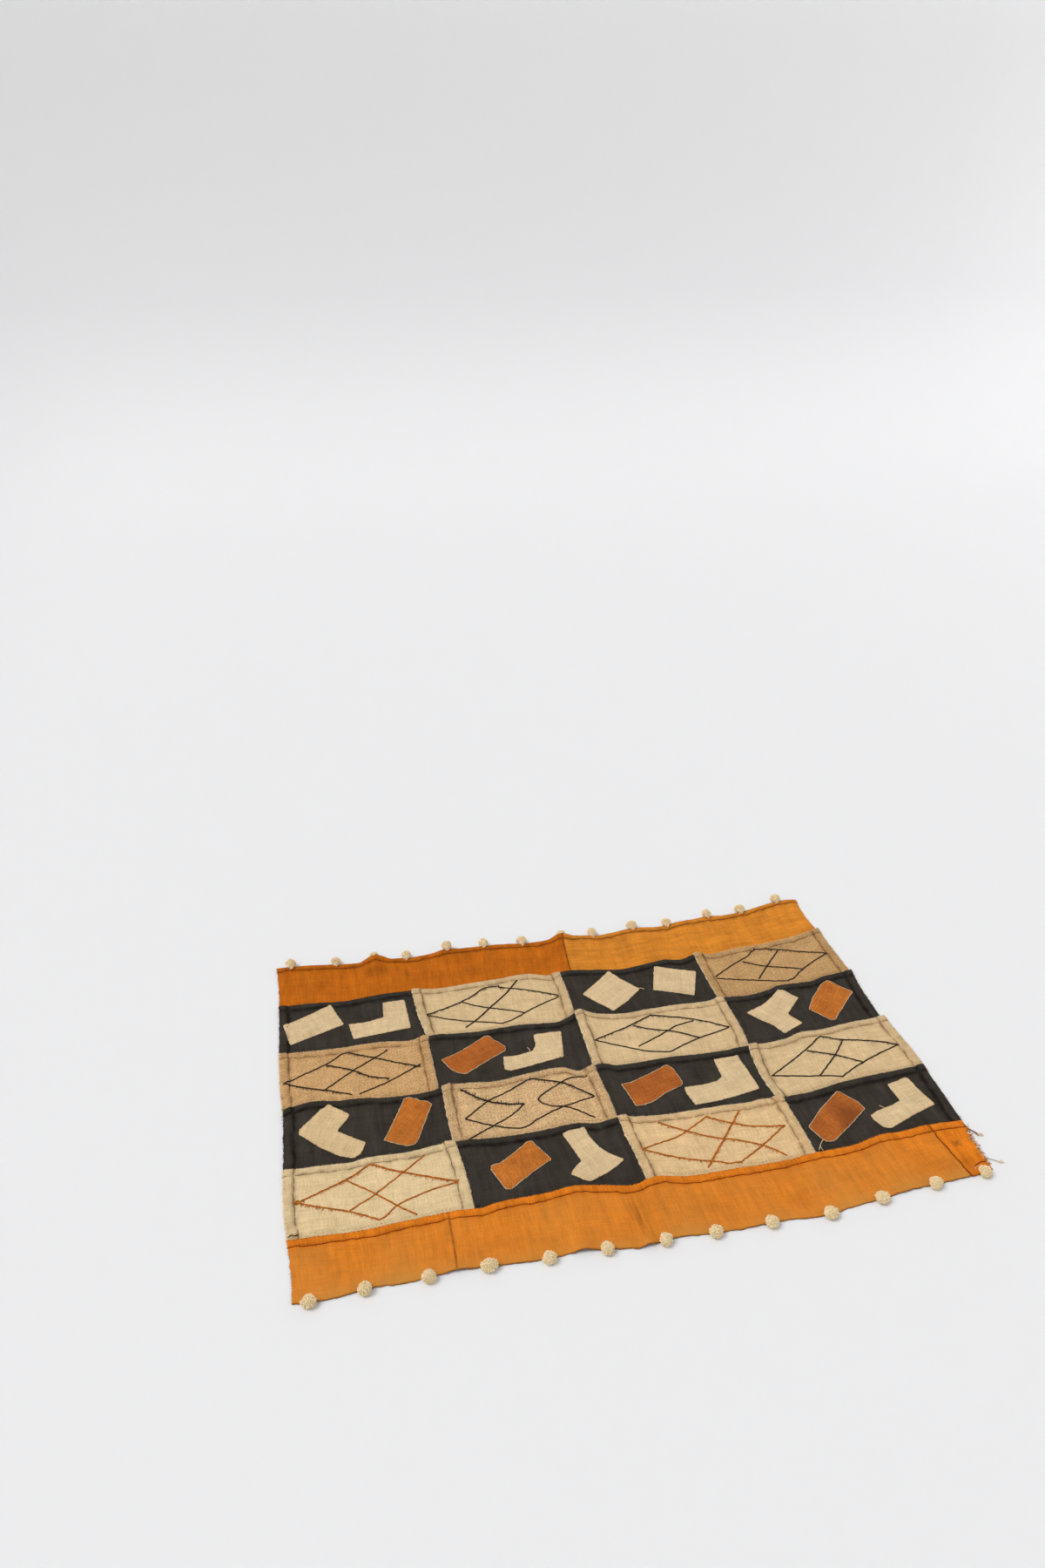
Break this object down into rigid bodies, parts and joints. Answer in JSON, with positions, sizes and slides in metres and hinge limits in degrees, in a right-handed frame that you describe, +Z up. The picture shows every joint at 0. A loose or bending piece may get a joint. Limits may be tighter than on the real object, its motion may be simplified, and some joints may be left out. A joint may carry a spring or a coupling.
{
  "type": "kuba raffia cloth",
  "caption": "Rectangular raffia cloth of lapped checkerboard panels between edge bands, with raffia tufts sewn along the long hems.",
  "frame": {"origin": "under the middle of the whole cloth, on the surface that it lies on", "axes": "+X along the cloth's long side, +Y across it from the near band to the far band, +Z up"},
  "size_m": [0.922, 0.667, 0.0172],
  "materials": {
    "natural_raffia": "undyed plain-woven raffia, matt, straw to tan",
    "black_raffia": "black-brown dyed plain-woven raffia, matt",
    "orange_raffia": "orange dyed plain-woven raffia, matt, unevenly dyed",
    "brown_raffia": "red-brown dyed raffia of the applied patches, matt",
    "raffia_tuft": "pale bundled raffia fibre, cut ends, matt",
    "raffia_thread": "raffia sewing and embroidery strands, natural, black and orange"
  },
  "bodies": {
    "root": {"panel_1_1": "black_raffia", "panel_1_2": "natural_raffia", "panel_1_3": "black_raffia", "panel_1_4": "natural_raffia", "panel_2_1": "natural_raffia", "panel_2_2": "black_raffia", "panel_2_3": "natural_raffia", "panel_2_4": "black_raffia", "panel_3_1": "black_raffia", "panel_3_2": "natural_raffia", "panel_3_3": "black_raffia", "panel_3_4": "natural_raffia", "panel_4_1": "natural_raffia", "panel_4_2": "black_raffia", "panel_4_3": "natural_raffia", "panel_4_4": "black_raffia", "near_band_left": "orange_raffia", "near_band_middle": "orange_raffia", "near_band_end": "orange_raffia", "far_band_left": "orange_raffia", "far_band_right": "orange_raffia", "near_tuft_1": "raffia_tuft", "near_tuft_2": "raffia_tuft", "near_tuft_3": "raffia_tuft", "near_tuft_4": "raffia_tuft", "near_tuft_5": "raffia_tuft", "near_tuft_6": "raffia_tuft", "near_tuft_7": "raffia_tuft", "near_tuft_8": "raffia_tuft", "near_tuft_9": "raffia_tuft", "near_tuft_10": "raffia_tuft", "near_tuft_11": "raffia_tuft", "near_tuft_12": "raffia_tuft", "near_tuft_13": "raffia_tuft", "far_tuft_1": "raffia_tuft", "far_tuft_2": "raffia_tuft", "far_tuft_3": "raffia_tuft", "far_tuft_4": "raffia_tuft", "far_tuft_5": "raffia_tuft", "far_tuft_6": "raffia_tuft", "far_tuft_7": "raffia_tuft", "far_tuft_8": "raffia_tuft", "far_tuft_9": "raffia_tuft", "far_tuft_10": "raffia_tuft", "far_tuft_11": "raffia_tuft", "far_tuft_12": "raffia_tuft", "far_tuft_13": "raffia_tuft", "far_tuft_14": "raffia_tuft"}
  },
  "joints": []
}
